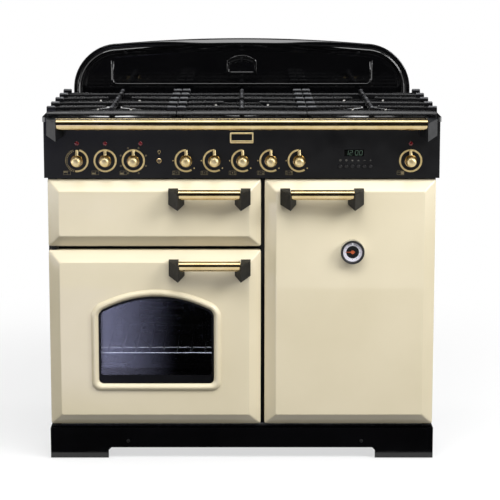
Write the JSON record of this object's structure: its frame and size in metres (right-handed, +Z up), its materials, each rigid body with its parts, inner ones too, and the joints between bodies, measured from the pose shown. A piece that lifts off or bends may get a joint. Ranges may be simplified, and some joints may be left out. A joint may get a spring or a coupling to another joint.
{
  "type": "range cooker",
  "caption": "Freestanding dual-fuel range cooker with bevelled enamel doors, brass bar handles and knobs, gas hob with iron pan supports and an arched splashback.",
  "frame": {"origin": "on the floor, below the middle of the cooker's overall box", "axes": "+Z up, -Y towards the user in front of the doors, +X to the right as the user sees it"},
  "size_m": [0.994, 0.666, 1.0339],
  "materials": {
    "cream_enamel": "glossy vitreous enamel on pressed steel",
    "black_enamel": "glossy black enamel on steel",
    "black_paint": "satin black paint",
    "grey_enamel": "speckled grey oven enamel",
    "plain_steel": "galvanised sheet",
    "cast_iron": "matt enamelled iron",
    "brass": "polished brass",
    "chrome": "bright plated wire",
    "aluminium": "die cast",
    "glass": "toughened tinted glass",
    "lens": "translucent red lens",
    "seal": "woven glass-fibre and rubber seal",
    "black_plastic": "moulded",
    "tyre": "moulded",
    "pointer_paint": "orange-red paint"
  },
  "bodies": {
    "cabinet": {"base_frame": "plain_steel", "side_panels": "black_paint", "back_cover": "plain_steel", "front_frame": "black_enamel", "plinth": "black_enamel", "levelling_feet": "black_plastic", "hotplate": "black_enamel", "burner_heads": "aluminium", "burner_caps": "black_enamel", "pan_supports": "cast_iron", "splashback": "black_enamel", "handrail_bar": "brass", "handrail_brackets": "black_enamel", "control_panel": "black_paint", "panel_lenses": "lens", "control_gear": "aluminium", "grill_chamber": "grey_enamel", "main_oven_liner": "grey_enamel", "tall_oven_liner": "grey_enamel", "oven_shelves": "chrome", "heating_elements": "plain_steel", "grill_pan": "grey_enamel", "fan_motors": "plain_steel", "fan_covers": "grey_enamel", "hinge_brackets": "black_paint", "door_seals": "seal"},
    "grill_door": {"grill_door_panel": "cream_enamel", "grill_door_liner": "grey_enamel", "grill_handle_bar": "brass", "grill_handle_brackets": "black_enamel"},
    "oven_door": {"oven_door_panel": "cream_enamel", "oven_door_liner": "grey_enamel", "oven_door_glass": "glass", "oven_handle_bar": "brass", "oven_handle_brackets": "black_enamel"},
    "tall_door": {"tall_door_panel": "cream_enamel", "tall_door_liner": "grey_enamel", "tall_handle_bar": "brass", "tall_handle_brackets": "black_enamel", "gauge_case": "chrome"},
    "gauge_pointer": {"gauge_pointer": "pointer_paint"},
    "main_oven_fan": {"main_oven_fan": "plain_steel"},
    "tall_oven_fan": {"tall_oven_fan": "plain_steel"},
    "rear_rollers": {"rear_rollers": "tyre"},
    "light_button": {"light_button": "brass"},
    "grill_knob": {"grill_knob": "brass"},
    "oven_temperature_knob": {"oven_temperature_knob": "brass"},
    "oven_function_knob": {"oven_function_knob": "brass"},
    "tall_oven_knob": {"tall_oven_knob": "brass"},
    "gas_knob_1": {"gas_knob_1": "brass"},
    "gas_knob_2": {"gas_knob_2": "brass"},
    "gas_knob_3": {"gas_knob_3": "brass"},
    "gas_knob_4": {"gas_knob_4": "brass"},
    "gas_knob_5": {"gas_knob_5": "brass"},
    "timer_button_1": {"timer_button_1": "black_plastic"},
    "timer_button_2": {"timer_button_2": "black_plastic"},
    "timer_button_3": {"timer_button_3": "black_plastic"},
    "timer_button_4": {"timer_button_4": "black_plastic"},
    "timer_button_5": {"timer_button_5": "black_plastic"},
    "timer_button_6": {"timer_button_6": "black_plastic"}
  },
  "joints": [
    {"name": "grill_door_hinge", "type": "hinge", "parent": "cabinet", "child": "grill_door", "pos_m": [-0.473, -0.244, 0.635], "axis": [0, 0, -1], "range_deg": [0, 105]},
    {"name": "oven_door_hinge", "type": "hinge", "parent": "cabinet", "child": "oven_door", "pos_m": [-0.473, -0.244, 0.315], "axis": [0, 0, -1], "range_deg": [0, 105]},
    {"name": "tall_door_hinge", "type": "hinge", "parent": "cabinet", "child": "tall_door", "pos_m": [0.473, -0.244, 0.405], "axis": [0, 0, 1], "range_deg": [0, 105]},
    {"name": "gauge_pointer_turn", "type": "hinge", "parent": "tall_door", "child": "gauge_pointer", "pos_m": [0.27675, -0.285, 0.541], "axis": [0, 1, 0], "range_deg": [0, 240]},
    {"name": "grill_knob_turn", "type": "hinge", "parent": "cabinet", "child": "grill_knob", "pos_m": [-0.411, -0.261, 0.7675], "axis": [0, 1, 0], "range_deg": [0, 270]},
    {"name": "oven_temperature_knob_turn", "type": "hinge", "parent": "cabinet", "child": "oven_temperature_knob", "pos_m": [-0.3407, -0.261, 0.7675], "axis": [0, 1, 0], "range_deg": [0, 270]},
    {"name": "oven_function_knob_turn", "type": "hinge", "parent": "cabinet", "child": "oven_function_knob", "pos_m": [-0.2704, -0.261, 0.7675], "axis": [0, 1, 0], "range_deg": [0, 320]},
    {"name": "tall_oven_knob_turn", "type": "hinge", "parent": "cabinet", "child": "tall_oven_knob", "pos_m": [0.421, -0.261, 0.7675], "axis": [0, 1, 0], "range_deg": [0, 270]},
    {"name": "gas_knob_1_turn", "type": "hinge", "parent": "cabinet", "child": "gas_knob_1", "pos_m": [-0.139, -0.261, 0.7675], "axis": [0, -1, 0], "range_deg": [0, 210]},
    {"name": "gas_knob_2_turn", "type": "hinge", "parent": "cabinet", "child": "gas_knob_2", "pos_m": [-0.0685, -0.261, 0.7675], "axis": [0, -1, 0], "range_deg": [0, 210]},
    {"name": "gas_knob_3_turn", "type": "hinge", "parent": "cabinet", "child": "gas_knob_3", "pos_m": [0.002, -0.261, 0.7675], "axis": [0, -1, 0], "range_deg": [0, 210]},
    {"name": "gas_knob_4_turn", "type": "hinge", "parent": "cabinet", "child": "gas_knob_4", "pos_m": [0.0725, -0.261, 0.7675], "axis": [0, -1, 0], "range_deg": [0, 210]},
    {"name": "gas_knob_5_turn", "type": "hinge", "parent": "cabinet", "child": "gas_knob_5", "pos_m": [0.143, -0.261, 0.7675], "axis": [0, -1, 0], "range_deg": [0, 210]},
    {"name": "timer_button_1_push", "type": "slide", "parent": "cabinet", "child": "timer_button_1", "axis": [0, 1, 0], "range_m": [0, 0.0015], "stiffness_N_per_m": 400},
    {"name": "timer_button_2_push", "type": "slide", "parent": "cabinet", "child": "timer_button_2", "axis": [0, 1, 0], "range_m": [0, 0.0015], "stiffness_N_per_m": 400},
    {"name": "timer_button_3_push", "type": "slide", "parent": "cabinet", "child": "timer_button_3", "axis": [0, 1, 0], "range_m": [0, 0.0015], "stiffness_N_per_m": 400},
    {"name": "timer_button_4_push", "type": "slide", "parent": "cabinet", "child": "timer_button_4", "axis": [0, 1, 0], "range_m": [0, 0.0015], "stiffness_N_per_m": 400},
    {"name": "timer_button_5_push", "type": "slide", "parent": "cabinet", "child": "timer_button_5", "axis": [0, 1, 0], "range_m": [0, 0.0015], "stiffness_N_per_m": 400},
    {"name": "timer_button_6_push", "type": "slide", "parent": "cabinet", "child": "timer_button_6", "axis": [0, 1, 0], "range_m": [0, 0.0015], "stiffness_N_per_m": 400},
    {"name": "light_button_push", "type": "slide", "parent": "cabinet", "child": "light_button", "axis": [0, 1, 0], "range_m": [0, 0.0015], "stiffness_N_per_m": 400},
    {"name": "main_oven_fan_spin", "type": "hinge", "parent": "cabinet", "child": "main_oven_fan", "pos_m": [-0.219, 0.185, 0.305], "axis": [0, 1, 0], "continuous": true},
    {"name": "tall_oven_fan_spin", "type": "hinge", "parent": "cabinet", "child": "tall_oven_fan", "pos_m": [0.27175, 0.185, 0.4], "axis": [0, 1, 0], "continuous": true},
    {"name": "rear_roller_spin", "type": "hinge", "parent": "cabinet", "child": "rear_rollers", "pos_m": [0, 0.243, 0.021], "axis": [1, 0, 0], "continuous": true}
  ]
}
